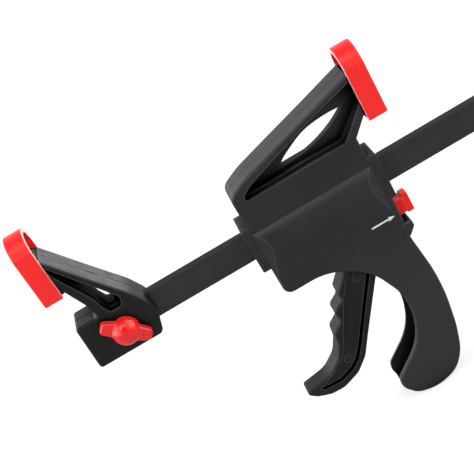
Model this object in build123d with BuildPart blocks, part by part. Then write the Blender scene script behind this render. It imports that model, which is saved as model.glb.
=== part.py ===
from build123d import *
import os
from math import sin, cos, radians, pi, tan

os.makedirs("parts", exist_ok=True)

# ---------------------------------------------------------------- dimensions
# Frame: origin at the middle of the fixed jaw's pad face, +X along the bar
# towards its free end, +Z from the bar towards the jaw tips, +Y through the
# thickness, from the visible side to the screw side.  Millimetres.
BAR_H, BAR_T = 20.6, 6.0            # flat bar section
BAR_X0, BAR_X1 = 12.0, 470.0        # bar from the closed end of the jaw to its free end
BAR_Z = -66.6                       # bar centre line below the pad centre
SLOT_CLR = 0.15                     # bar guide clearance, each side

HALF_W = 12.75                      # half width of jaw arms, body and grip
WALL = 3.0                          # housing wall

PAD_W, PAD_H, PAD_D = 28.0, 49.6, 13.5
PAD_ROOF, PAD_FLAT = 10.9, 8.6      # height of the roof above the creases, half width where it levels out
PAD_WALL, PAD_FACE = 2.2, 4.2
PAD_CREST = 3.4                     # wall thickness at the top of the roof
PAD_Z0 = 41.8                       # pad bottom above the bar centre line
PAD2_X = 251.3                      # outer face of the moving pad
PAD2_DROP = 1.8                     # the moving pad sits this much lower
TONGUE_CLR = 0.1

KNOB_X = 34.8                       # clamp screw axis, on the bar centre line
STUD_D, STUD_HOLE = 7.8, 8.3
WASHER_T, WASHER_D = 1.0, 18.0
NUT_AF, NUT_T = 13.0, 6.5
KNOB_ANGLE = -41.5                  # wing direction at rest

HEAD_X0, HEAD_X1 = 131.0, 231.9     # collars around the bar
PLATE_X0, PLATE_X1 = 136.4, 225.8   # body between the collars
COLLAR_Z = 17.1
BULGE_R = 17.3                      # ridge over the drive spring

PIVOT = (200.8, -31.0)              # trigger pin, from the bar centre line
PIN_D = 5.0
NOSE_R, NOSE_ARM, NOSE_ANGLE = 4.0, 16.6, 8.0
TRIG_T = 16.0                       # trigger thickness
PLATE_T = 4.0                       # drive and brake plates
# front face of the drive plate; the trigger's nose stands 0.05 behind its rear face
DRIVE_X = PIVOT[0] + NOSE_ARM * sin(radians(NOSE_ANGLE)) - NOSE_R - 0.05 - PLATE_T
SEAT_X = 161.0                      # spring seat
COIL_R, COIL_WIRE = 12.1, 1.8       # drive spring, around the bar
BRAKE_PIVOT = (214.5, 15.0)
BRAKE_TILT = 8.0                    # brake plate's tilt while it grips
BUTTON_Z, BUTTON_NOSE = -29.9, 8.0  # release button: height of its stem, radius of its inner end
SCREWS = [(145.5, -30.0), (148.0, 26.5), (215.0, 27.0), (220.0, -61.0), (196.0, -154.5)]

# side plane: local x is X, local y is Z from the bar centre line, normal towards -Y
SIDE = Plane(origin=(0, 0, BAR_Z), x_dir=(1, 0, 0), z_dir=(0, -1, 0))


def at(x, y, z):
    """Point of the frame from X, Y and the height above the bar centre line."""
    return (x, y, BAR_Z + z)


def write(builder, name):
    builder.part.label = name
    export_step(builder.part, f"parts/{name}.step")


# ---------------------------------------------------------------- bar
with BuildPart() as slide_bar:
    with BuildSketch(Plane(origin=at(BAR_X0, 0, 0), x_dir=(0, 1, 0), z_dir=(1, 0, 0))):
        Rectangle(BAR_T, BAR_H)
    extrude(amount=BAR_X1 - BAR_X0)
    fillet(slide_bar.edges().filter_by(Axis.X), 0.5)
    with BuildSketch(SIDE.offset(-BAR_T)):
        with Locations((KNOB_X, 0)):
            Circle(STUD_HOLE / 2)
        with Locations((BAR_X1 - 22, 0)):
            Circle(2.0)
        with Locations((BAR_X1 - 9, 0)):
            Circle(3.25)
    extrude(amount=2 * BAR_T, mode=Mode.SUBTRACT)
write(slide_bar, "slide_bar")

# cross pin near the free end, keeps the head on the bar
STOP_X = BAR_X1 - 22
with BuildPart() as bar_stop_pin:
    with BuildSketch(SIDE.offset(-8.0)):
        with Locations((STOP_X, 0)):
            Circle(2.0)
    extrude(amount=16.0)
    chamfer(bar_stop_pin.edges().filter_by(GeomType.CIRCLE), 0.4)
write(bar_stop_pin, "bar_stop_pin")


# ---------------------------------------------------------------- pads
def pad_body(x_face, direction, drop=0.0):
    """Cup pad with its gripping face at x_face; the cup opens away from it."""
    w, low, top = PAD_W / 2, PAD_Z0 - drop, PAD_Z0 + PAD_H - drop
    wi, flat_i = w - PAD_WALL, PAD_FLAT - 1.75
    crease_i = top - PAD_CREST - (wi - flat_i) * PAD_ROOF / (w - PAD_FLAT)
    flip = Plane(origin=(x_face, 0, BAR_Z), x_dir=(0, direction, 0), z_dir=(direction, 0, 0))
    with BuildPart() as pad:
        # straight sides, a crease at each haunch and a rounded roof
        with BuildSketch(flip) as pad_outline:
            with BuildLine():
                Polyline((-w, low), (w, low), (w, top - PAD_ROOF), (PAD_FLAT, top), (-PAD_FLAT, top),
                         (-w, top - PAD_ROOF), close=True)
            make_face()
            fillet(pad_outline.vertices().group_by(Axis.Y)[-1], 13.4)
        extrude(amount=PAD_D)
        grip = pad.faces().sort_by(Axis.X)[0 if direction > 0 else -1]
        fillet(grip.edges(), 1.2)
        rim = pad.faces().sort_by(Axis.X)[-1 if direction > 0 else 0]
        fillet(rim.edges(), 0.6)
        # cup
        with BuildSketch(flip.offset(PAD_FACE)) as cup_outline:
            with BuildLine():
                Polyline((-wi, low + 1.6), (wi, low + 1.6), (wi, crease_i), (flat_i, top - PAD_CREST),
                         (-flat_i, top - PAD_CREST), (-wi, crease_i), close=True)
            make_face()
            fillet(cup_outline.vertices().group_by(Axis.Y)[-1], 9.5)
        extrude(amount=PAD_D, mode=Mode.SUBTRACT)
        # open foot of the cup, where the arm's end shows
        with BuildSketch(flip.offset(PAD_FACE)):
            with Locations((0, low)):
                Rectangle(2 * wi - 3.0, 6.0)
        extrude(amount=PAD_D - PAD_FACE - 1.8, mode=Mode.SUBTRACT)
    return pad


fixed_jaw_pad = pad_body(0.0, 1)
write(fixed_jaw_pad, "fixed_jaw_pad")
moving_jaw_pad = pad_body(PAD2_X, -1, PAD2_DROP)
write(moving_jaw_pad, "moving_jaw_pad")

TONGUE_W = PAD_W / 2 - PAD_WALL - TONGUE_CLR
TONGUE_Z0, TONGUE_Z1 = PAD_Z0 + 1.7, PAD_Z0 + 34.0

# ---------------------------------------------------------------- fixed jaw
with BuildPart() as fixed_jaw:
    # block and arm, one outline; the arm's end is cut flat at the pad's back
    with BuildSketch(SIDE.offset(-HALF_W)) as jaw_outline:
        with BuildLine():
            Polyline((54.2, -17.3), (6.1, -17.3), (6.9, 17.0), (24.3, 17.0), (21.6, 29.0), (18.1, 37.3), (6.0, 68.0),
                     (6.0, 82.0), (13.5, 71.5), (35.0, 41.4), (50.9, 19.8), (57.9, 6.8), (58.8, -2.4), close=True)
        make_face()
        for corner, r in (((54.2, -17.3), 4.0), ((6.1, -17.3), 2.6), ((6.9, 17.0), 2.4), ((24.3, 17.0), 2.8),
                          ((21.6, 29.0), 12.0), ((35.0, 41.4), 200.0), ((50.9, 19.8), 25.0), ((57.9, 6.8), 20.0),
                          ((58.8, -2.4), 12.0)):
            fillet(jaw_outline.vertices().sort_by_distance(corner)[0], r)
    extrude(amount=2 * HALF_W)
    fillet(fixed_jaw.edges().group_by(Axis.Y)[0] + fixed_jaw.edges().group_by(Axis.Y)[-1], 2.0)
    with BuildSketch(SIDE.offset(-HALF_W)):
        with Locations((PAD_D / 2, 70.0)):
            Rectangle(PAD_D, 60.0)
    extrude(amount=2 * HALF_W, mode=Mode.SUBTRACT)
    # tongue inside the pad
    with BuildSketch(SIDE.offset(-TONGUE_W)):
        with BuildLine():
            Polyline((PAD_D + 2.0, TONGUE_Z0), (PAD_FACE, TONGUE_Z0), (PAD_FACE, TONGUE_Z1),
                     (PAD_D + 1.0, TONGUE_Z1 - 6.2), (PAD_D + 3.0, 60.0), close=True)
        make_face()
    extrude(amount=2 * TONGUE_W)
    # foot that shows under the pad
    with BuildSketch(SIDE.offset(-9.0)):
        with Locations((PAD_FACE + 3.8, PAD_Z0 + 2.0)):
            Rectangle(7.0, 5.4)
    extrude(amount=18.0)
    # recess on both sides of the web, in two steps
    for side in (1, -1):
        for depth, inset in ((8.4, 0.0), (3.0, 0.9)):
            with BuildSketch(SIDE.offset(side * depth)) as web_recess:
                with BuildLine():
                    Polyline((12.6, 67.6), (29.9, 42.2), (39.0, 28.8), (43.6, 22.0), (41.2, 15.4), (33.0, 15.4),
                             (29.9, 22.6), (28.6, 28.7), (25.4, 36.4), (19.2, 48.8), (15.0, 58.2), close=True)
                make_face()
                for corner, r in (((43.6, 22.0), 3.6), ((41.2, 15.4), 3.0), ((33.0, 15.4), 3.0)):
                    fillet(web_recess.vertices().sort_by_distance(corner)[0], r)
                if inset:
                    offset(amount=-inset, kind=Kind.INTERSECTION)
            extrude(amount=side * HALF_W, mode=Mode.SUBTRACT)
    # hole through the web
    with BuildSketch(SIDE.offset(-HALF_W)) as web_hole:
        with BuildLine():
            Polyline((20.9, 49.4), (27.4, 40.2), (33.4, 31.2), (39.3, 20.2), (37.4, 16.8), (33.6, 17.6), (28.1, 31.8),
                     (24.2, 41.6), close=True)
        make_face()
        for corner, r in (((39.3, 20.2), 1.6), ((37.4, 16.8), 1.4), ((33.6, 17.6), 1.8)):
            fillet(web_hole.vertices().sort_by_distance(corner)[0], r)
    extrude(amount=2 * HALF_W, mode=Mode.SUBTRACT)
    # slot for the bar
    with BuildSketch(Plane(origin=at(BAR_X0 - 0.3, 0, 0), x_dir=(0, 1, 0), z_dir=(1, 0, 0))):
        Rectangle(BAR_T + 0.2, BAR_H + 0.2)
    extrude(amount=60.0, mode=Mode.SUBTRACT)
    # screw hole and the nut's pocket on the far side
    with BuildSketch(SIDE.offset(-HALF_W - 1)):
        with Locations((KNOB_X, 0)):
            Circle(STUD_HOLE / 2)
    extrude(amount=2 * HALF_W + 2, mode=Mode.SUBTRACT)
    with BuildSketch(SIDE.offset(-HALF_W - 1)):
        with Locations((KNOB_X, 0)):
            RegularPolygon((NUT_AF + 0.2) / 2, 6, major_radius=False)
    extrude(amount=1 + NUT_T + 0.3, mode=Mode.SUBTRACT)
    # mould parting groove along the arm's outer edge
    with BuildSketch(SIDE.offset(-0.35)):
        with BuildLine():
            Polyline((13.7, 70.2), (34.5, 41.0), (50.4, 19.4), (57.0, 7.0), (58.8, 7.4), (51.8, 20.4), (35.8, 42.0),
                     (14.6, 71.8), close=True)
        make_face()
    extrude(amount=0.7, mode=Mode.SUBTRACT)
    # mould parting groove over the closed end of the block
    with BuildSketch(Plane(origin=at(6.0, 0, 0), x_dir=(0, 1, 0), z_dir=(1, 0, 0))):
        with Locations((0, 17.0)):
            Rectangle(0.8, 1.0)
    extrude(amount=15.0, mode=Mode.SUBTRACT)
write(fixed_jaw, "fixed_jaw")

# ---------------------------------------------------------------- clamp screw of the fixed jaw
NUT_Y0 = HALF_W - NUT_T - 0.2       # nut sits at the bottom of its pocket
with BuildPart() as clamp_nut:
    with BuildSketch(SIDE.offset(-NUT_Y0)):
        with Locations((KNOB_X, 0)):
            RegularPolygon(NUT_AF / 2, 6, major_radius=False)
    extrude(amount=-NUT_T)
    with BuildSketch(SIDE.offset(-NUT_Y0 - NUT_T)):
        with Locations((KNOB_X, 0)):
            Circle(4.0)
    extrude(amount=NUT_T, mode=Mode.SUBTRACT)
    ends = clamp_nut.faces().filter_by(Axis.Y)
    chamfer(ends.sort_by(Axis.Y)[-1].edges().filter_by(GeomType.LINE), 0.5)
write(clamp_nut, "clamp_nut")

WASHER_Y = -HALF_W
with BuildPart() as wing_washer:
    with BuildSketch(SIDE.offset(HALF_W)):
        with Locations((KNOB_X, 0)):
            Circle(WASHER_D / 2)
            Circle(STUD_D / 2 + 0.1, mode=Mode.SUBTRACT)
    extrude(amount=WASHER_T)
write(wing_washer, "wing_washer")

KNOB_BASE = HALF_W + WASHER_T       # distance of the knob's base from the mid plane
KNOB_H = 10.4
with BuildPart() as wing_stud:
    with BuildSketch(SIDE.offset(KNOB_BASE + 7.0)):
        with Locations((KNOB_X, 0)):
            Circle(STUD_D / 2)
    extrude(amount=-(KNOB_BASE + 7.0 + NUT_Y0 + NUT_T + 0.6))
    chamfer(wing_stud.edges().filter_by(GeomType.CIRCLE).sort_by(Axis.Y)[-1], 0.7)
write(wing_stud, "wing_stud")

wing_plane = Plane(origin=at(KNOB_X, -KNOB_BASE, 0),
                   x_dir=(cos(radians(KNOB_ANGLE)), 0, sin(radians(KNOB_ANGLE))), z_dir=(0, -1, 0))
with BuildPart() as wing_knob:
    # domed hub
    with BuildSketch(Plane(origin=wing_plane.origin, x_dir=wing_plane.x_dir, z_dir=-wing_plane.y_dir)):
        with BuildLine():
            Line((0, 0), (9.2, 0))
            Line((9.2, 0), (9.9, 0.9))
            Line((9.9, 0.9), (9.8, 2.6))
            Spline((9.8, 2.6), (7.0, 8.2), (0, KNOB_H), tangents=((-0.05, 1), (-1, 0)))
            Line((0, KNOB_H), (0, 0))
        make_face()
    revolve(axis=Axis(wing_plane.origin, wing_plane.z_dir))
    # two wings, rounded over towards the hand
    with BuildPart(mode=Mode.PRIVATE) as wings:
        with BuildSketch(wing_plane.offset(0.7)) as wing_outline:
            with BuildLine():
                Polyline((17.3, -3.9), (17.3, 3.9), (8.6, 5.2), (-8.6, 5.2), (-17.3, 3.9), (-17.3, -3.9),
                         (-8.6, -5.2), (8.6, -5.2), close=True)
            make_face()
            for x in (-17.3, 17.3):
                for y in (-3.9, 3.9):
                    fillet(wing_outline.vertices().sort_by_distance((x, y))[0], 2.6)
        extrude(amount=4.6)
        fillet(wings.faces().sort_by(Axis.Y)[0].edges(), 1.5)
    add(wings.part)
    # socket for the stud
    with BuildSketch(wing_plane):
        Circle(STUD_D / 2)
    extrude(amount=7.0, mode=Mode.SUBTRACT)
write(wing_knob, "wing_knob")

# ---------------------------------------------------------------- moving head, half shells
# outline corners of the body and grip, each with its rounding radius
GRIP = [((PLATE_X0, 6.0), 0), ((PLATE_X0, -40.9), 6.0), ((167.0, -40.9), 40.0), ((192.4, -57.0), 43.0),
        ((204.9, -86.0), 50.0), ((204.9, -104.0), 38.0), ((198.6, -126.0), 44.0), ((175.0, -145.4), 6.5),
        ((172.9, -154.0), 11.0), ((181.0, -164.5), 13.0), ((195.4, -168.6), 28.0), ((213.6, -163.8), 22.0),
        ((222.8, -150.0), 34.0), ((227.9, -130.0), 110.0), ((231.4, -102.0), 150.0), ((231.1, -80.0), 150.0),
        ((226.9, -46.0), 60.0), ((228.3, -36.0), 0), ((228.3, 6.0), 0)]

with BuildPart() as body_half:
    # body below the bar and the hollow grip
    with BuildSketch(SIDE) as body_outline:
        with BuildLine():
            Polyline(*[p for p, r in GRIP], close=True)
        make_face()
        for p, r in GRIP:
            if r:
                fillet(body_outline.vertices().sort_by_distance(p)[0], r)
    extrude(amount=HALF_W)
    fillet(body_half.edges().group_by(Axis.Y)[0], 2.0)

with BuildPart() as lip_half:
    # guard under the release button
    with BuildSketch(SIDE) as lip_outline:
        with BuildLine():
            Polyline((224.0, -38.2), (233.2, -38.2), (233.2, -43.6), (228.0, -49.0), (224.0, -49.0), close=True)
        make_face()
        fillet(lip_outline.vertices().group_by(Axis.X)[-1], 1.8)
    extrude(amount=HALF_W - 0.3)
    chamfer(lip_half.edges().group_by(Axis.Y)[0], 0.8)

with BuildPart() as arm_half:
    # plate above the bulge and the moving arm
    with BuildSketch(SIDE) as arm_outline:
        with BuildLine():
            Polyline((PLATE_X1, 4.0), (PLATE_X0, 4.0), (PLATE_X0, 41.4), (150.4, 48.1), (175.4, 55.6), (207.8, 65.2),
                     (PAD2_X - PAD_D, 74.4), (PAD2_X - PAD_D, 45.8), (PLATE_X1, 33.2), close=True)
        make_face()
        for p, r in (((PLATE_X0, 41.4), 7.5), ((150.4, 48.1), 50.0), ((175.4, 55.6), 150.0), ((207.8, 65.2), 150.0)):
            fillet(arm_outline.vertices().sort_by_distance(p)[0], r)
    extrude(amount=HALF_W)
    fillet(arm_half.edges().group_by(Axis.Y)[0], 1.8)

with BuildPart() as collar_half:
    # collars that guide the bar at both ends
    with BuildSketch(SIDE):
        with Locations(((HEAD_X0 + HEAD_X1) / 2, 0)):
            RectangleRounded(HEAD_X1 - HEAD_X0, 2 * COLLAR_Z, 0.8)
    extrude(amount=HALF_W)
    fillet(collar_half.edges().group_by(Axis.Y)[0], 1.0)

with BuildPart() as bulge_half:
    # ridge over the drive spring, blended into the body below
    with BuildSketch(Plane(origin=at(PLATE_X0, 0, 0), x_dir=(0, 1, 0), z_dir=(1, 0, 0))):
        with BuildLine():
            Polyline((-HALF_W, -31.0), (0, -31.0), (0, 12.0), (-HALF_W + 0.6, 12.0))
            Spline((-HALF_W + 0.6, 12.0), (-15.4, 7.9), (-BULGE_R + 0.2, 2.6), (-BULGE_R + 0.3, -5.0), (-15.2, -14.5),
                   (-13.3, -23.0), (-HALF_W, -31.0), tangents=((-0.78, -0.62), (0, -1)))
        make_face()
    extrude(amount=PLATE_X1 - PLATE_X0)
    # slanted ends
    with BuildSketch(Plane.XY.offset(BAR_Z - 35)):
        for x, d in ((PLATE_X0, 1), (PLATE_X1, -1)):
            with BuildLine():
                Polyline((x - d, -HALF_W + 0.6), (x + 0.4 * d, -HALF_W + 0.6), (x + 8.8 * d, -BULGE_R - 1.0),
                         (x - d, -BULGE_R - 1.0), close=True)
            make_face()
    extrude(amount=60.0, mode=Mode.SUBTRACT)

with BuildPart() as half_shell:
    add(body_half.part)
    add(lip_half.part)
    add(arm_half.part)
    add(collar_half.part)
    add(bulge_half.part)
    # tongue inside the moving pad
    with BuildSketch(SIDE):
        with BuildLine():
            Polyline((PAD2_X - PAD_D - 2.0, 46.0), (PAD2_X - PAD_D, TONGUE_Z0 - PAD2_DROP),
                     (PAD2_X - PAD_FACE, TONGUE_Z0 - PAD2_DROP), (PAD2_X - PAD_FACE, TONGUE_Z1 - PAD2_DROP),
                     (PAD2_X - PAD_D - 1.0, TONGUE_Z1 - 3.0), (PAD2_X - PAD_D - 3.0, 60.0), close=True)
        make_face()
    extrude(amount=TONGUE_W)
    with BuildSketch(SIDE):
        with Locations((PAD2_X - PAD_FACE - 3.8, PAD_Z0 + 2.0 - PAD2_DROP)):
            Rectangle(7.0, 5.4)
    extrude(amount=9.0)
    # recess of the arm, two steps down to the web
    x_end = PAD2_X - PAD_D - 0.2
    for depth, low, inset in ((8.2, 34.6, 0.0), (2.3, 36.4, 0.8)):
        with BuildSketch(SIDE.offset(depth)) as recess:
            with BuildLine():
                Polyline((x_end, 53.8 + inset), (x_end, 70.0 - inset), (207.0, 61.6 - inset), (173.6, 50.4 - inset),
                         (151.6, 42.6 - inset), (145.0 + inset, 38.4), (145.0 + inset, low), (218.4 - inset, low),
                         close=True)
            make_face()
            for p, r in (((145.0 + inset, 38.4), 1.2), ((145.0 + inset, low), 0.8), ((151.6, 42.6 - inset), 12.0),
                         ((218.4 - inset, low), 2.0)):
                fillet(recess.vertices().sort_by_distance(p)[0], r)
        extrude(amount=HALF_W, mode=Mode.SUBTRACT)
    # parting groove between the half shells, over the arm
    with BuildSketch(SIDE):
        with BuildLine():
            Polyline((137.0, 18.0), (137.0, 36.7), (137.3, 38.6), (138.1, 40.4), (139.3, 41.8), (140.9, 42.9),
                     (150.6, 47.5), (175.6, 55.0), (208.0, 64.6), (PAD2_X - PAD_D, 73.8), (PAD2_X - PAD_D, 75.4),
                     (207.5, 66.2), (175.1, 56.6), (150.1, 49.1), (135.4, 42.0), (135.4, 18.0), close=True)
        make_face()
    extrude(amount=0.35, mode=Mode.SUBTRACT)
    # lens-shaped hole through the web
    with BuildSketch(SIDE):
        with BuildLine():
            Spline((174.3, 38.6), (186.9, 47.4), (197.1, 52.0), (210.5, 54.4), (227.9, 54.0),
                   tangents=((0.62, 0.78), (0.98, -0.1)))
            Spline((227.9, 54.0), (217.7, 47.4), (207.7, 43.0), (194.3, 39.4), (184.3, 38.5), (174.3, 38.6),
                   tangents=((-0.8, -0.6), (-1, 0.02)))
        make_face()
    extrude(amount=HALF_W, mode=Mode.SUBTRACT)
    # mechanism space, open to the grip and down to the trigger
    with BuildSketch(SIDE):
        with BuildLine():
            Polyline((SEAT_X, 19.8), (225.3, 19.8), (225.3, -52.0))
            Spline((225.3, -52.0), (226.2, -66.0), (226.8, -80.0), (226.5, -97.0), (224.6, -120.0), (221.2, -139.5),
                   (216.6, -151.8), (207.6, -161.0), (194.6, -164.2), (183.4, -161.4), (176.4, -157.0),
                   tangents=((0.02, -1), (-0.8, 0.6)))
            Polyline((176.4, -157.0), (168.0, -151.0), (164.0, -144.0), (164.0, -60.0), (166.0, -44.0),
                     (166.0, -37.6), (SEAT_X, -37.6), (SEAT_X, 19.8))
        make_face()
    extrude(amount=HALF_W - WALL, mode=Mode.SUBTRACT)
    # spring space in the bulge
    with BuildSketch(Plane(origin=at(SEAT_X, 0, 0), x_dir=(0, 1, 0), z_dir=(1, 0, 0))):
        Circle(14.1)
    extrude(amount=45.0, mode=Mode.SUBTRACT)
    # hollow above and in front of the spring seat, between ribs
    for x0, x1, z0, z1 in ((163.0, 203.0, 23.0, 31.6), (142.0, 158.0, -26.0, -14.0)):
        with BuildSketch(SIDE):
            with Locations(((x0 + x1) / 2, (z0 + z1) / 2)):
                Rectangle(x1 - x0, z1 - z0)
        extrude(amount=HALF_W - WALL, mode=Mode.SUBTRACT)
    # bar guide
    with BuildSketch(Plane(origin=at(HEAD_X0 - 1, 0, 0), x_dir=(0, 1, 0), z_dir=(1, 0, 0))):
        Rectangle(BAR_T + 2 * SLOT_CLR, BAR_H + 2 * SLOT_CLR)
    extrude(amount=HEAD_X1 - HEAD_X0 + 2, mode=Mode.SUBTRACT)
    # slot for the release button's stem
    with BuildSketch(Plane(origin=at(222.0, 0, 0), x_dir=(0, 1, 0), z_dir=(1, 0, 0))):
        with Locations((0, -27.9)):
            Rectangle(11.0, 20.4)
    extrude(amount=9.0, mode=Mode.SUBTRACT)
    # screw bosses across the hollow
    for x, z in (SCREWS[3], SCREWS[4]):
        with BuildSketch(SIDE):
            with Locations((x, z)):
                Circle(4.0)
        extrude(amount=HALF_W - WALL + 0.5)
    # bosses of the trigger pin
    with BuildSketch(SIDE.offset(6.2)):
        with Locations(PIVOT):
            Circle(5.0)
    extrude(amount=HALF_W - WALL + 0.5 - 6.2)
    # roof notch that holds the brake plate's top end, and the brake spring's seat
    with BuildSketch(SIDE):
        with Locations((BRAKE_PIVOT[0] - 4.0, 17.8), (BRAKE_PIVOT[0] + 3.6, 17.8)):
            Rectangle(2.4, 4.8)
        with Locations((209.5, -25.4)):
            Rectangle(2.2, 9.0)
    extrude(amount=HALF_W - WALL + 0.5)
    with BuildSketch(SIDE):
        with Locations(PIVOT):
            Circle(PIN_D / 2)
    extrude(amount=11.0, mode=Mode.SUBTRACT)

with BuildPart() as front_housing:
    add(half_shell.part)
    for x, z in SCREWS:
        with BuildSketch(SIDE):
            with Locations((x, z)):
                Circle(1.45)
        extrude(amount=HALF_W - 3.4, mode=Mode.SUBTRACT)
write(front_housing, "front_housing")

HEAD_SEAT = 8.0                     # screw heads sit this far from the mid plane
with BuildPart() as rear_housing:
    mirror(half_shell.part, about=Plane.XZ)
    for x, z in SCREWS:
        with BuildSketch(SIDE):
            with Locations((x, z)):
                Circle(1.7)
        extrude(amount=-HALF_W, mode=Mode.SUBTRACT)
        with BuildSketch(SIDE.offset(-HEAD_SEAT)):
            with Locations((x, z)):
                Circle(3.5)
        extrude(amount=-HALF_W, mode=Mode.SUBTRACT)
write(rear_housing, "rear_housing")

# ---------------------------------------------------------------- screws that close the housing
with BuildPart() as housing_screws:
    with BuildSketch(SIDE.offset(-HEAD_SEAT)):
        with Locations(*SCREWS):
            Circle(3.2)
    extrude(amount=-2.3)
    fillet(housing_screws.faces().filter_by(Axis.Y).group_by(Axis.Y)[-1].edges(), 0.7)
    with BuildSketch(SIDE.offset(-HEAD_SEAT)):
        with Locations(*SCREWS):
            Circle(1.4)
    extrude(amount=HEAD_SEAT + HALF_W - 4.6)
    # cross recess
    with BuildSketch(SIDE.offset(-HEAD_SEAT - 1.0)):
        with Locations(*SCREWS):
            Rectangle(3.4, 0.8)
            Rectangle(0.8, 3.4)
    extrude(amount=-3.0, mode=Mode.SUBTRACT)
write(housing_screws, "housing_screws")

# ---------------------------------------------------------------- trigger and its pin
with BuildPart() as trigger_pivot_pin:
    with BuildSketch(SIDE.offset(-10.9)):
        with Locations(PIVOT):
            Circle(PIN_D / 2)
    extrude(amount=21.8)
    chamfer(trigger_pivot_pin.edges().filter_by(GeomType.CIRCLE), 0.4)
write(trigger_pivot_pin, "trigger_pivot_pin")

# outline corners of the lever below the body, each with its rounding radius
LEVER = [((182.0, -44.0), 0), ((165.9, -62.3), 4.6), ((167.0, -67.9), 4.6), ((157.5, -74.2), 4.6),
         ((159.2, -82.4), 4.6), ((150.6, -88.4), 5.0), ((149.2, -98.2), 12.0), ((143.6, -108.6), 18.0),
         ((132.4, -117.2), 18.0), ((112.8, -120.4), 2.0), ((113.9, -123.9), 3.5), ((118.6, -127.9), 7.0),
         ((128.0, -131.8), 12.0), ((138.4, -132.1), 14.0), ((152.0, -127.0), 18.0), ((162.0, -117.6), 18.0),
         ((169.3, -105.6), 60.0), ((184.9, -81.2), 120.0), ((203.9, -51.6), 0)]


def on_arm(along, across):
    """A point in the side view, measured along the nose arm from the trigger pin and across it to the right."""
    a = radians(NOSE_ANGLE)
    return (PIVOT[0] + along * sin(a) + across * cos(a), PIVOT[1] + along * cos(a) - across * sin(a))


NOSE = on_arm(NOSE_ARM, 0)
with BuildPart() as trigger:
    with BuildSketch(SIDE.offset(-TRIG_T / 2)) as lever_outline:
        with BuildLine():
            Polyline(*[p for p, r in LEVER], close=True)
        make_face()
        for p, r in LEVER:
            if r:
                fillet(lever_outline.vertices().sort_by_distance(p)[0], r)
    extrude(amount=TRIG_T)
    fillet(trigger.edges().group_by(Axis.Y)[0] + trigger.edges().group_by(Axis.Y)[-1], 2.0)
    # sunk panels with a deep groove along the rear rim, and rings left by the ejector pins
    for side in (1, -1):
        with BuildSketch(SIDE.offset(side * (TRIG_T / 2 - 1.0))) as panel:
            with BuildLine():
                Polyline((184.6, -45.0), (176.8, -55.0), (171.0, -63.0), (164.2, -75.6), (159.1, -86.1),
                         (154.9, -94.0), (150.9, -104.0), (144.9, -110.6), (136.0, -117.0), (122.6, -122.4),
                         (124.4, -124.6), (138.8, -125.9), (149.2, -122.2), (156.2, -117.2), (162.9, -107.8),
                         (180.9, -78.4), (191.2, -62.0), (199.5, -48.6), (199.5, -45.0), close=True)
            make_face()
            for p, r in (((144.9, -110.6), 10.0), ((136.0, -117.0), 14.0), ((138.8, -125.9), 10.0),
                         ((149.2, -122.2), 10.0), ((156.2, -117.2), 12.0)):
                fillet(panel.vertices().sort_by_distance(p)[0], r)
        extrude(amount=side * TRIG_T, mode=Mode.SUBTRACT)
        with BuildSketch(SIDE.offset(side * 2.2)) as groove:
            with BuildLine():
                Polyline((198.4, -46.6), (189.2, -60.9), (178.9, -77.3), (160.9, -106.6), (154.6, -115.4),
                         (148.1, -120.1), (138.5, -123.6), (124.4, -123.0), (124.4, -124.6), (138.8, -125.9),
                         (149.2, -122.2), (156.2, -117.2), (162.9, -107.8), (180.9, -78.4), (191.2, -62.0),
                         (200.0, -47.8), close=True)
            make_face()
            for p, r in (((138.8, -125.9), 10.0), ((149.2, -122.2), 10.0), ((156.2, -117.2), 12.0)):
                fillet(groove.vertices().sort_by_distance(p)[0], r)
        extrude(amount=side * TRIG_T, mode=Mode.SUBTRACT)
        with BuildSketch(SIDE.offset(side * (TRIG_T / 2 - 1.6))):
            with Locations((183.4, -58.6), (150.4, -112.6)):
                Circle(3.3)
                Circle(2.6, mode=Mode.SUBTRACT)
        extrude(amount=side * TRIG_T, mode=Mode.SUBTRACT)
    # neck, hub and nose inside the body
    with BuildSketch(SIDE.offset(-5.6)):
        with BuildLine():
            Polyline((176.0, -47.0), (179.6, -43.0), (194.6, -28.0), (207.0, -34.0), (200.0, -55.0), (190.0, -52.0), close=True)
        make_face()
        with Locations(PIVOT):
            Circle(6.8)
        with BuildLine():
            Polyline(on_arm(2.0, -6.2), on_arm(9.0, -2.8), on_arm(NOSE_ARM, -2.8), on_arm(NOSE_ARM, 4.0), on_arm(0.0, 6.6), close=True)
        make_face()
        with Locations(NOSE):
            Circle(NOSE_R)
    extrude(amount=11.2)
    with BuildSketch(SIDE.offset(-TRIG_T)):
        with Locations(PIVOT):
            Circle(PIN_D / 2 + 0.07)
    extrude(amount=2 * TRIG_T, mode=Mode.SUBTRACT)
write(trigger, "trigger")

# ---------------------------------------------------------------- drive plates and their spring
# two punched plates that lie against each other and move as one
for name, x, lead in (("drive_plate_front", DRIVE_X, 0.4), ("drive_plate_rear", DRIVE_X + PLATE_T / 2, 0.0)):
    with BuildPart() as drive_plate:
        with BuildSketch(Plane(origin=at(x, 0, 0), x_dir=(0, 1, 0), z_dir=(1, 0, 0))) as drive_outline:
            with Locations((0, -2.0)):
                Rectangle(17.2, 35.0)
            fillet(drive_outline.vertices(), 2.0)
            Rectangle(BAR_T + 0.2, BAR_H + 0.2, mode=Mode.SUBTRACT)
        extrude(amount=PLATE_T / 2)
        if lead:
            chamfer(drive_plate.faces().filter_by(Axis.X).sort_by(Axis.X)[0].outer_wire().edges(), lead)
    write(drive_plate, name)

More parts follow.
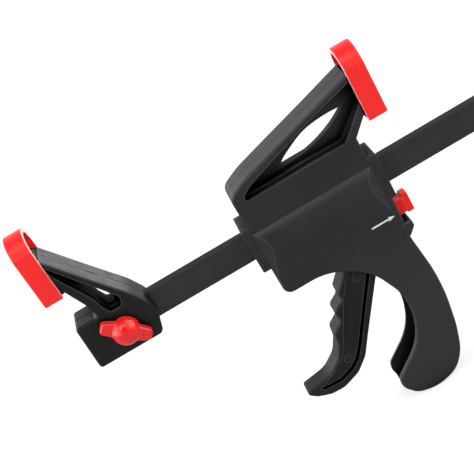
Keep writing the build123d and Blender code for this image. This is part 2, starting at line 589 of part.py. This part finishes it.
COIL_X0, COIL_X1 = SEAT_X + COIL_WIRE / 2 + 0.05, DRIVE_X - COIL_WIRE / 2 - 0.05
with BuildPart() as drive_spring:
    with BuildLine() as coil:
        Helix((COIL_X1 - COIL_X0) / 6.5, COIL_X1 - COIL_X0, COIL_R, center=at(COIL_X0, 0, 0), direction=(1, 0, 0))
    with BuildSketch(Plane(origin=coil.line @ 0, z_dir=coil.line % 0)):
        Circle(COIL_WIRE / 2)
    sweep(is_frenet=True)
write(drive_spring, "drive_spring")

# ---------------------------------------------------------------- brake plate, its spring and the release button
tilt = radians(BRAKE_TILT)
brake_plane = Plane(origin=at(BRAKE_PIVOT[0], 0, BRAKE_PIVOT[1]), x_dir=(0, 1, 0), z_dir=(cos(tilt), 0, sin(tilt)))
with BuildPart() as brake_plate:
    with BuildSketch(brake_plane.offset(-PLATE_T / 2)) as brake_outline:
        with BuildLine():
            Polyline((-8.4, 0.0), (-8.4, -34.0), (-6.4, -38.0), (-6.4, -50.0), (6.4, -50.0), (6.4, -38.0),
                     (8.4, -34.0), (8.4, 0.0), close=True)
        make_face()
        fillet(brake_outline.vertices().group_by(Axis.Z)[0], 1.2)
        # hole that grips the bar while the plate is tilted
        with Locations((0, -BRAKE_PIVOT[1] / cos(tilt))):
            Rectangle(BAR_T + 0.3, BAR_H + 0.8, mode=Mode.SUBTRACT)
    extrude(amount=PLATE_T)
    # rounded top end, on which the plate rocks
    with BuildSketch(SIDE.offset(-8.4)):
        with Locations(BRAKE_PIVOT):
            Circle(PLATE_T / 2)
    extrude(amount=16.8)
write(brake_plate, "brake_plate")

NOSE_X = BRAKE_PIVOT[0] + (PLATE_T / 2 + BUTTON_NOSE + (BRAKE_PIVOT[1] - BUTTON_Z) * sin(tilt)) / cos(tilt) + 0.05
with BuildPart() as release_button:
    # cap outside the body
    with BuildSketch(SIDE.offset(-4.2)):
        with Locations((237.0, BUTTON_Z)):
            Rectangle(5.0, 14.8)
    extrude(amount=8.4)
    fillet(release_button.edges(), 1.0)
    # stem through the slot
    with BuildSketch(SIDE.offset(-3.0)):
        with Locations(((224.0 + 236.0) / 2, BUTTON_Z)):
            Rectangle(12.0, 8.8)
    extrude(amount=6.0)
    # thicker outer part of the stem, which fills most of the slot
    with BuildSketch(SIDE.offset(-4.2)):
        with Locations((231.2, BUTTON_Z)):
            Rectangle(7.6, 11.4)
    extrude(amount=8.4)
    # inner flange, too wide for the slot, with a rounded end against the brake plate
    with BuildSketch(SIDE.offset(-7.2)):
        with BuildLine():
            Polyline((NOSE_X - BUTTON_NOSE * cos(radians(28)), BUTTON_Z + BUTTON_NOSE * sin(radians(28))),
                     (225.0, BUTTON_Z + 4.2), (225.0, BUTTON_Z - 4.2),
                     (NOSE_X - BUTTON_NOSE * cos(radians(28)), BUTTON_Z - BUTTON_NOSE * sin(radians(28))))
            ThreePointArc((NOSE_X - BUTTON_NOSE * cos(radians(28)), BUTTON_Z - BUTTON_NOSE * sin(radians(28))),
                          (NOSE_X - BUTTON_NOSE, BUTTON_Z),
                          (NOSE_X - BUTTON_NOSE * cos(radians(28)), BUTTON_Z + BUTTON_NOSE * sin(radians(28))))
        make_face()
    extrude(amount=14.4)
write(release_button, "release_button")

BRAKE_COIL_X0, BRAKE_COIL_X1 = 210.95, 217.2
with BuildPart() as brake_spring:
    with BuildLine() as brake_coil:
        Helix((BRAKE_COIL_X1 - BRAKE_COIL_X0) / 3.5, BRAKE_COIL_X1 - BRAKE_COIL_X0, 3.0,
              center=at(BRAKE_COIL_X0, 0, -25.4), direction=(1, 0, 0))
    with BuildSketch(Plane(origin=brake_coil.line @ 0, z_dir=brake_coil.line % 0)):
        Circle(0.3)
    sweep(is_frenet=True)
write(brake_spring, "brake_spring")
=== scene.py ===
import math

import bpy
from mathutils import Matrix, Vector


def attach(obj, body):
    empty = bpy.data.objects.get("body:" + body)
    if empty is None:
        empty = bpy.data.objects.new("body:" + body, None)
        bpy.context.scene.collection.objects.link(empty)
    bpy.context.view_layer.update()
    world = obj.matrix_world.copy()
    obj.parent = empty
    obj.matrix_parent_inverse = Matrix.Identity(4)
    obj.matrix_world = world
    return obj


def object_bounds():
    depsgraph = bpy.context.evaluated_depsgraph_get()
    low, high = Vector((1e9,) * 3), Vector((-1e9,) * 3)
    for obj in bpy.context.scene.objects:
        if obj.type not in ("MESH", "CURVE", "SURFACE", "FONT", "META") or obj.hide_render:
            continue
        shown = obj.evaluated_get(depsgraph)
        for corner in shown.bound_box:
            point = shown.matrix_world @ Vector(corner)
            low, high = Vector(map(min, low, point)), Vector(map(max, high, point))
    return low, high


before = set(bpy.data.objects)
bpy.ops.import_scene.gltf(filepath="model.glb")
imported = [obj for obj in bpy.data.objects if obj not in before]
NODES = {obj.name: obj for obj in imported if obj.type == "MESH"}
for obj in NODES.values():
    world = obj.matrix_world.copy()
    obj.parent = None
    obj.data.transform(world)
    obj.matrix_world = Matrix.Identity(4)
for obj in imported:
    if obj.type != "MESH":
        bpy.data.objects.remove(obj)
CAD_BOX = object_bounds()
scene = bpy.context.scene
BAR_Z = -0.0666


# ------------------------------------------------------------------ camera
cam_data = bpy.data.cameras.new("camera")
cam_data.sensor_width = 36.0
cam_data.lens = 87.34
cam_data.clip_start = 0.05
cam_data.clip_end = 20.0
cam = bpy.data.objects.new("camera", cam_data)
scene.collection.objects.link(cam)
right = Vector((0.86192, -0.20283, -0.46471)).normalized()
back = -Vector((-0.03102, 0.89369, -0.44761)).normalized()
up = back.cross(right).normalized()
right = up.cross(back).normalized()
cam.matrix_world = Matrix(
    (
        (right.x, up.x, back.x, 0.15110),
        (right.y, up.y, back.y, -0.67507),
        (right.z, up.z, back.z, 0.28147),
        (0.0, 0.0, 0.0, 1.0),
    )
)
scene.camera = cam
scene.view_settings.view_transform = "Standard"
scene.view_settings.look = "None"


# ------------------------------------------------------------------ node helpers
class Mat:
    """A small builder for procedural materials."""

    def __init__(self, name):
        self.m = bpy.data.materials.new(name)
        self.m.use_nodes = True
        self.t = self.m.node_tree
        for n in list(self.t.nodes):
            self.t.nodes.remove(n)
        self.out = self.t.nodes.new("ShaderNodeOutputMaterial")
        self.bsdf = self.t.nodes.new("ShaderNodeBsdfPrincipled")
        self.t.links.new(self.bsdf.outputs[0], self.out.inputs[0])
        self.co = self.t.nodes.new("ShaderNodeTexCoord").outputs["Object"]

    def node(self, kind, **sockets):
        n = self.t.nodes.new(kind)
        for k, v in sockets.items():
            n.inputs[k].default_value = v
        return n

    def link(self, a, b):
        self.t.links.new(a, b)

    def mapped(self, scale):
        n = self.node("ShaderNodeMapping")
        n.inputs["Scale"].default_value = scale
        self.link(self.co, n.inputs["Vector"])
        return n.outputs[0]

    def noise(self, scale, detail=3.0, rough=0.5, stretch=None):
        n = self.node("ShaderNodeTexNoise")
        n.inputs["Scale"].default_value = scale
        n.inputs["Detail"].default_value = detail
        n.inputs["Roughness"].default_value = rough
        self.link(self.mapped(stretch) if stretch else self.co, n.inputs["Vector"])
        return n.outputs["Fac"]

    def ramp(self, fac, stops):
        n = self.t.nodes.new("ShaderNodeValToRGB")
        e = n.color_ramp.elements
        while len(e) < len(stops):
            e.new(0.5)
        for i, (p, c) in enumerate(stops):
            e[i].position = p
            e[i].color = (*c, 1.0) if isinstance(c, tuple) else (c, c, c, 1.0)
        self.link(fac, n.inputs["Fac"])
        return n.outputs["Color"]

    def remap(self, fac, a, b, c, d):
        n = self.node("ShaderNodeMapRange")
        for k, v in (("From Min", a), ("From Max", b), ("To Min", c), ("To Max", d)):
            n.inputs[k].default_value = v
        self.link(fac, n.inputs["Value"])
        return n.outputs["Result"]

    def mix(self, fac, a, b, mode="MIX"):
        n = self.t.nodes.new("ShaderNodeMix")
        n.data_type = "RGBA"
        n.blend_type = mode
        for sock, v in ((n.inputs["Factor"], fac), (n.inputs["A"], a), (n.inputs["B"], b)):
            if isinstance(v, bpy.types.NodeSocket):
                self.link(v, sock)
            elif isinstance(v, tuple):
                sock.default_value = (*v, 1.0)
            else:
                sock.default_value = v
        return n.outputs["Result"]

    def math(self, op, a, b=None):
        n = self.t.nodes.new("ShaderNodeMath")
        n.operation = op
        for i, v in enumerate((a, b)):
            if v is None:
                continue
            if isinstance(v, bpy.types.NodeSocket):
                self.link(v, n.inputs[i])
            else:
                n.inputs[i].default_value = v
        return n.outputs[0]

    def bump(self, height, strength, distance, normal=None):
        n = self.node("ShaderNodeBump")
        n.inputs["Strength"].default_value = strength
        n.inputs["Distance"].default_value = distance
        self.link(height, n.inputs["Height"])
        if normal is not None:
            self.link(normal, n.inputs["Normal"])
        return n.outputs[0]

    def unshaded_mask(self, distance, low=0.25, high=0.85):
        """1 on open surfaces, falling to 0 deep inside recesses: the mask for painted shade in recesses."""
        n = self.t.nodes.new("ShaderNodeAmbientOcclusion")
        n.samples = 8
        n.inputs["Distance"].default_value = distance
        return self.remap(n.outputs["AO"], low, high, 0.0, 1.0)

    def edge_highlight_mask(self, radius, full=0.90):
        """1 along the edges, 0 on flat and gently curved surfaces: the mask for painted edge highlights."""
        bev = self.t.nodes.new("ShaderNodeBevel")
        bev.samples = 6
        bev.inputs["Radius"].default_value = radius
        geo = self.t.nodes.new("ShaderNodeNewGeometry")
        dot = self.t.nodes.new("ShaderNodeVectorMath")
        dot.operation = "DOT_PRODUCT"
        self.link(bev.outputs[0], dot.inputs[0])
        self.link(geo.outputs["Normal"], dot.inputs[1])
        return self.remap(dot.outputs["Value"], 0.985, full, 0.0, 1.0)

    def set(self, **v):
        for k, val in v.items():
            sock = self.bsdf.inputs[k.replace("_", " ")]
            if isinstance(val, bpy.types.NodeSocket):
                self.link(val, sock)
            elif isinstance(val, tuple):
                sock.default_value = (*val, 1.0) if len(val) == 3 else val
            else:
                sock.default_value = val
        return self.m


def body_plastic(name, base=(0.0120, 0.0120, 0.0135), level=0.42, rough=0.46, deep=0.011, lit_grip_z=None, flange_light=0.0):
    m = Mat(name)
    fine = m.noise(2600.0, 2.0, 0.55)
    cloud = m.noise(38.0, 3.0, 0.5)
    # masks for painted shade in recesses, at a short and a long reach
    unshaded = m.math("MULTIPLY", m.unshaded_mask(deep), m.unshaded_mask(0.034, 0.30, 0.60))
    edge_highlight = m.math("MULTIPLY", m.edge_highlight_mask(0.0009), unshaded)
    col = m.mix(m.remap(cloud, 0.3, 0.7, 0.0, 1.0), tuple(0.78 * c for c in base), tuple(1.3 * c for c in base))
    if lit_grip_z is not None:
        # painted light: the body turns lighter and bluer towards the grip, lower down
        sep = m.t.nodes.new("ShaderNodeSeparateXYZ")
        m.link(m.co, sep.inputs[0])
        ink_wear_and_grip_light = m.remap(sep.outputs["Z"], lit_grip_z[0], lit_grip_z[1], 0.0, 1.0)
        col = m.mix(ink_wear_and_grip_light, col, (0.0195, 0.0188, 0.0225))
    # painted light from above: the arms' up-facing flanges are lightened, in streaks along their length
    sep = m.t.nodes.new("ShaderNodeSeparateXYZ")
    m.link(m.t.nodes.new("ShaderNodeNewGeometry").outputs["Normal"], sep.inputs[0])
    flank = m.remap(m.math("ABSOLUTE", sep.outputs["Y"]), 0.2, 0.6, 1.0, 0.0)
    streak = m.noise(900.0, 3.0, 0.6, (0.12, 1.4, 0.12))
    place = m.t.nodes.new("ShaderNodeSeparateXYZ")
    m.link(m.co, place.inputs[0])
    on_arm = m.remap(place.outputs["Z"], BAR_Z + 0.019, BAR_Z + 0.026, 0.0, 1.0)
    lit_flange = m.math("MULTIPLY", m.math("MULTIPLY", flank, m.remap(sep.outputs["Z"], 0.35, 0.6, 0.0, 1.0)),
                      m.math("MULTIPLY", on_arm, m.remap(streak, 0.35, 0.7, 0.0, flange_light)))
    col = m.mix(lit_flange, col, (0.150, 0.149, 0.156))
    # painted highlight along the edges, kept out of the painted recess shade
    col = m.mix(m.math("MULTIPLY", edge_highlight, EDGE_LIGHT), col, (0.16, 0.155, 0.175))
    # painted shade: near black deep inside recesses and crevices
    col = m.mix(unshaded, (0.0012, 0.0012, 0.0014), col)
    r = m.math("ADD", m.remap(fine, 0.3, 0.7, rough - 0.05, rough + 0.06), m.remap(cloud, 0.3, 0.7, -0.04, 0.04))
    b = m.bump(fine, 0.10, 0.00012)
    m.set(Base_Color=col, Roughness=r, Normal=b, IOR=1.5)
    # painted shade in the reflection as well: the specular level falls inside recesses
    m.link(m.remap(unshaded, 0.0, 1.0, 0.06 * level, level), m.bsdf.inputs["Specular IOR Level"])
    return m


def plain(m):
    return m.m if isinstance(m, Mat) else m


EDGE_LIGHT = 0.55
plastic = body_plastic("moulded_nylon", (0.0112, 0.0112, 0.0126), 0.40, lit_grip_z=(-0.105, -0.165), flange_light=0.08)
jaw_plastic = body_plastic("moulded_nylon_jaw", (0.0050, 0.0050, 0.0056), 0.28, 0.44, 0.0065, flange_light=1.0)
trigger_plastic = body_plastic("moulded_nylon_trigger", (0.0088, 0.0088, 0.0100), 0.22, 0.46)


def red_plastic(name, base, rough, level, coat, lit_lip_side=0):
    m = Mat(name)
    cloud = m.noise(60.0, 3.0, 0.5)
    fine = m.noise(900.0, 2.0, 0.5)
    edge_highlight = m.edge_highlight_mask(0.0008)
    col = m.mix(m.remap(cloud, 0.3, 0.7, 0.0, 1.0), tuple(0.93 * c for c in base), base)
    # painted highlight along the edges, in a pale red
    col = m.mix(m.math("MULTIPLY", edge_highlight, 0.75), col, (0.92, 0.36, 0.35))
    if lit_lip_side:
        # painted highlight: the cup's open lip, where it faces the given side along X, turns pale pink, kept off the
        # painted recess shade
        sep = m.t.nodes.new("ShaderNodeSeparateXYZ")
        m.link(m.t.nodes.new("ShaderNodeNewGeometry").outputs["Normal"], sep.inputs[0])
        facing = m.remap(m.math("MULTIPLY", sep.outputs["X"], float(lit_lip_side)), 0.55, 0.95, 0.0, 0.95)
        col = m.mix(m.math("MULTIPLY", facing, m.unshaded_mask(0.003, 0.35, 0.75)), col, (0.94, 0.58, 0.58))
    m.set(Base_Color=col, Roughness=m.remap(cloud, 0.3, 0.7, rough - 0.04, rough + 0.05), Normal=m.bump(fine, 0.03, 0.00006))
    m.bsdf.inputs["Specular IOR Level"].default_value = level
    m.bsdf.inputs["Coat Weight"].default_value = coat
    m.bsdf.inputs["Coat Roughness"].default_value = 0.12
    return m


pad_red = red_plastic("pad_vinyl", (0.91, 0.017, 0.016), 0.36, 0.38, 0.0, 1)
pad_red_moving = red_plastic("pad_vinyl_moving", (0.91, 0.017, 0.016), 0.36, 0.38, 0.0, -1)
knob_red = red_plastic("knob_plastic", (0.80, 0.012, 0.013), 0.12, 0.36, 0.35)
button_red = red_plastic("button_plastic", (1.0, 0.020, 0.014), 0.30, 0.2, 0.0)


def bar_steel():
    m = Mat("black_oxide_bar")
    streak = m.noise(60.0, 4.0, 0.6, (0.6, 10.0, 10.0))
    cloud = m.noise(26.0, 4.0, 0.6)
    rust = m.ramp(cloud, [(0.35, (0.017, 0.016, 0.016)), (0.55, (0.025, 0.022, 0.019)), (0.72, (0.036, 0.028, 0.021))])
    col = m.mix(m.remap(streak, 0.3, 0.7, 0.0, 0.45), rust, (0.020, 0.020, 0.021))
    fine = m.noise(500.0, 3.0, 0.6, (0.25, 3.0, 3.0))
    # painted shade darkens the narrow top and bottom faces, and a painted highlight brightens the corners between them
    # and the faces
    sep = m.t.nodes.new("ShaderNodeSeparateXYZ")
    m.link(m.t.nodes.new("ShaderNodeNewGeometry").outputs["Normal"], sep.inputs[0])
    narrow_face_shade = m.remap(m.math("ABSOLUTE", sep.outputs["Z"]), 0.5, 0.9, 0.0, 0.85)
    col = m.mix(narrow_face_shade, col, (0.0035, 0.0034, 0.0034))
    col = m.mix(m.math("MULTIPLY", m.edge_highlight_mask(0.0010), 0.75), col, (0.15, 0.145, 0.14))
    # less reflection on the narrow faces, part of the same painted shade
    m.link(m.remap(narrow_face_shade, 0.0, 0.85, 0.34, 0.10), m.bsdf.inputs["Specular IOR Level"])
    m.set(Base_Color=col, Metallic=0.0, Roughness=m.remap(streak, 0.3, 0.7, 0.30, 0.44), Normal=m.bump(fine, 0.06, 0.0001))
    return m


def metal(name, base, rough, streaks=(3.0, 3.0, 3.0), metallic=0.9):
    m = Mat(name)
    n = m.noise(400.0, 3.0, 0.6, streaks)
    cloud = m.noise(90.0, 3.0, 0.5)
    col = m.mix(m.remap(cloud, 0.3, 0.7, 0.0, 1.0), tuple(0.8 * c for c in base), tuple(min(1.0, 1.12 * c) for c in base))
    m.set(Base_Color=col, Metallic=metallic, Roughness=m.remap(n, 0.3, 0.7, rough - 0.06, rough + 0.08), Normal=m.bump(n, 0.08, 0.00005))
    return m


bar_mat = bar_steel()
zinc = metal("zinc_plate", (0.55, 0.56, 0.58), 0.30)
plate_mat = metal("hardened_plate", (0.22, 0.21, 0.20), 0.36)
wire_mat = metal("spring_wire", (0.30, 0.30, 0.31), 0.28)

LOOK = {
    "slide_bar": bar_mat,
    "bar_stop_pin": zinc,
    "fixed_jaw": jaw_plastic,
    "fixed_jaw_pad": pad_red,
    "clamp_nut": zinc,
    "wing_washer": zinc,
    "wing_stud": zinc,
    "wing_knob": knob_red,
    "front_housing": plastic,
    "rear_housing": plastic,
    "moving_jaw_pad": pad_red_moving,
    "housing_screws": zinc,
    "trigger_pivot_pin": zinc,
    "trigger": trigger_plastic,
    "drive_plate_front": plate_mat,
    "drive_plate_rear": plate_mat,
    "drive_spring": wire_mat,
    "brake_plate": plate_mat,
    "brake_spring": wire_mat,
    "release_button": button_red,
}
for node, look in LOOK.items():
    o = NODES[node]
    o.data.materials.clear()
    o.data.materials.append(plain(look))


# ------------------------------------------------------------------ raised arrow beside the release button
def white_ink():
    m = Mat("white_ink")
    ink_wear_and_grip_light = m.noise(700.0, 4.0, 0.65)
    col = m.ramp(ink_wear_and_grip_light, [(0.30, (0.50, 0.50, 0.51)), (0.48, (0.74, 0.74, 0.75)), (0.70, (0.82, 0.82, 0.82))])
    m.set(Base_Color=col, Roughness=m.remap(ink_wear_and_grip_light, 0.3, 0.7, 0.42, 0.60), Normal=m.bump(ink_wear_and_grip_light, 0.05, 0.00005))
    m.bsdf.inputs["Specular IOR Level"].default_value = 0.3
    return m


ARROW_Y0, ARROW_Y1 = -0.01262, -0.01306     # a film of ink, its back buried in the housing's side
ARROW_Z = BAR_Z - 0.0290
outline = [
    (0.2069, -0.00055), (0.2203, -0.00055), (0.2196, -0.00165), (0.2243, 0.0),
    (0.2196, 0.00165), (0.2203, 0.00055), (0.2069, 0.00055),
]
n = len(outline)
verts = [(x, ARROW_Y1, ARROW_Z + z) for x, z in outline] + [(x, ARROW_Y0, ARROW_Z + z) for x, z in outline]
faces = [tuple(range(n)), tuple(reversed(range(n, 2 * n)))]
faces += [(i, n + i, n + (i + 1) % n, (i + 1) % n) for i in range(n)]
arrow_mesh = bpy.data.meshes.new("push_arrow")
arrow_mesh.from_pydata(verts, [], faces)
arrow_mesh.update()
arrow = bpy.data.objects.new("push_arrow", arrow_mesh)
scene.collection.objects.link(arrow)
arrow_mesh.materials.append(white_ink().m)
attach(arrow, "head")

# ------------------------------------------------------------------ floor, world and lights
FLOOR_GLOW = 0.62
floor_z = CAD_BOX[0][2]
me = bpy.data.meshes.new("floor")
R = 6.0
me.from_pydata([(-R, -R, floor_z), (R, -R, floor_z), (R, R, floor_z), (-R, R, floor_z)], [], [(0, 1, 2, 3)])
floor = bpy.data.objects.new("floor", me)
scene.collection.objects.link(floor)
fm = Mat("floor_paper")
grain = fm.noise(300.0, 2.0, 0.5)
flp = fm.t.nodes.new("ShaderNodeLightPath")
fm.set(Base_Color=fm.mix(fm.remap(grain, 0.3, 0.7, 0.0, 1.0), (0.385, 0.385, 0.387), (0.40, 0.40, 0.40)), Roughness=0.9)
fm.bsdf.inputs["Specular IOR Level"].default_value = 0.0
# seen directly the paper is nearly burnt out, with only a faint contact shadow
fm.bsdf.inputs["Emission Color"].default_value = (1.0, 1.0, 1.0, 1.0)
fm.link(fm.math("MULTIPLY", flp.outputs["Is Camera Ray"], FLOOR_GLOW), fm.bsdf.inputs["Emission Strength"])
floor.data.materials.append(fm.m)

world = bpy.data.worlds.new("studio")
scene.world = world
world.use_nodes = True
wt = world.node_tree
for n in list(wt.nodes):
    wt.nodes.remove(n)
out = wt.nodes.new("ShaderNodeOutputWorld")
bg = wt.nodes.new("ShaderNodeBackground")
bg_cam = wt.nodes.new("ShaderNodeBackground")
bg_cam.inputs[0].default_value = (1.0, 1.0, 1.0, 1.0)
bg_cam.inputs[1].default_value = 1.0
lp = wt.nodes.new("ShaderNodeLightPath")
mixs = wt.nodes.new("ShaderNodeMixShader")
wt.links.new(lp.outputs["Is Camera Ray"], mixs.inputs[0])
wt.links.new(bg.outputs[0], mixs.inputs[1])
wt.links.new(bg_cam.outputs[0], mixs.inputs[2])
wt.links.new(mixs.outputs[0], out.inputs[0])
tc = wt.nodes.new("ShaderNodeTexCoord")
sep = wt.nodes.new("ShaderNodeSeparateXYZ")
wt.links.new(tc.outputs["Generated"], sep.inputs[0])


def wmath(op, a, b=None):
    n = wt.nodes.new("ShaderNodeMath")
    n.operation = op
    for i, v in enumerate((a, b)):
        if v is None:
            continue
        if isinstance(v, bpy.types.NodeSocket):
            wt.links.new(v, n.inputs[i])
        else:
            n.inputs[i].default_value = v
    return n.outputs[0]


# a soft tent: one even part and a broad glow from each side, from behind, from the front and from above
TENT = {"even": 0.03, "left": 4.2, "right": 4.0, "back": 1.05, "front": 0.0, "top": 0.05}


def glow(socket, sign, power):
    return wmath("POWER", wmath("MAXIMUM", wmath("MULTIPLY", socket, sign), 0.0), power)


strength = wmath("MULTIPLY", glow(sep.outputs["X"], -1.0, 2.0), TENT["left"])
for socket, sign, power, key in (
    (sep.outputs["X"], 1.0, 2.0, "right"),
    (sep.outputs["Y"], 1.0, 2.0, "back"),
    (sep.outputs["Y"], -1.0, 2.0, "front"),
    (sep.outputs["Z"], 1.0, 3.0, "top"),
):
    strength = wmath("ADD", strength, wmath("MULTIPLY", glow(socket, sign, power), TENT[key]))
strength = wmath("ADD", strength, TENT["even"])
bg.inputs[0].default_value = (1.0, 1.0, 1.0, 1.0)
wt.links.new(strength, bg.inputs[1])


def softbox(name, loc, aim, w, h, power, colour=(1.0, 1.0, 1.0)):
    d = bpy.data.lights.new(name, "AREA")
    d.shape = "RECTANGLE"
    d.size, d.size_y = w, h
    d.energy = power
    d.color = colour
    o = bpy.data.objects.new(name, d)
    o.location = loc
    o.rotation_euler = (Vector(aim) - Vector(loc)).to_track_quat("-Z", "Y").to_euler()
    o.visible_camera = False
    scene.collection.objects.link(o)
    return o


AIM = (0.13, 0.0, -0.06)
POWER = {"over": 1.3, "spot": 0.85, "left": 0.35, "right": 0.35}
softbox("softbox_over", (0.12, -0.50, 0.78), AIM, 0.70, 0.34, POWER["over"])
softbox("softbox_spot_left", (-0.30, -0.62, 0.62), AIM, 0.09, 0.09, POWER["spot"])
softbox("softbox_spot_right", (0.22, -0.66, 0.66), AIM, 0.09, 0.09, POWER["spot"])
softbox("softbox_left", (-0.70, -0.22, 0.34), AIM, 0.40, 0.50, POWER["left"])
softbox("softbox_right", (0.98, -0.22, 0.34), AIM, 0.40, 0.50, POWER["right"])
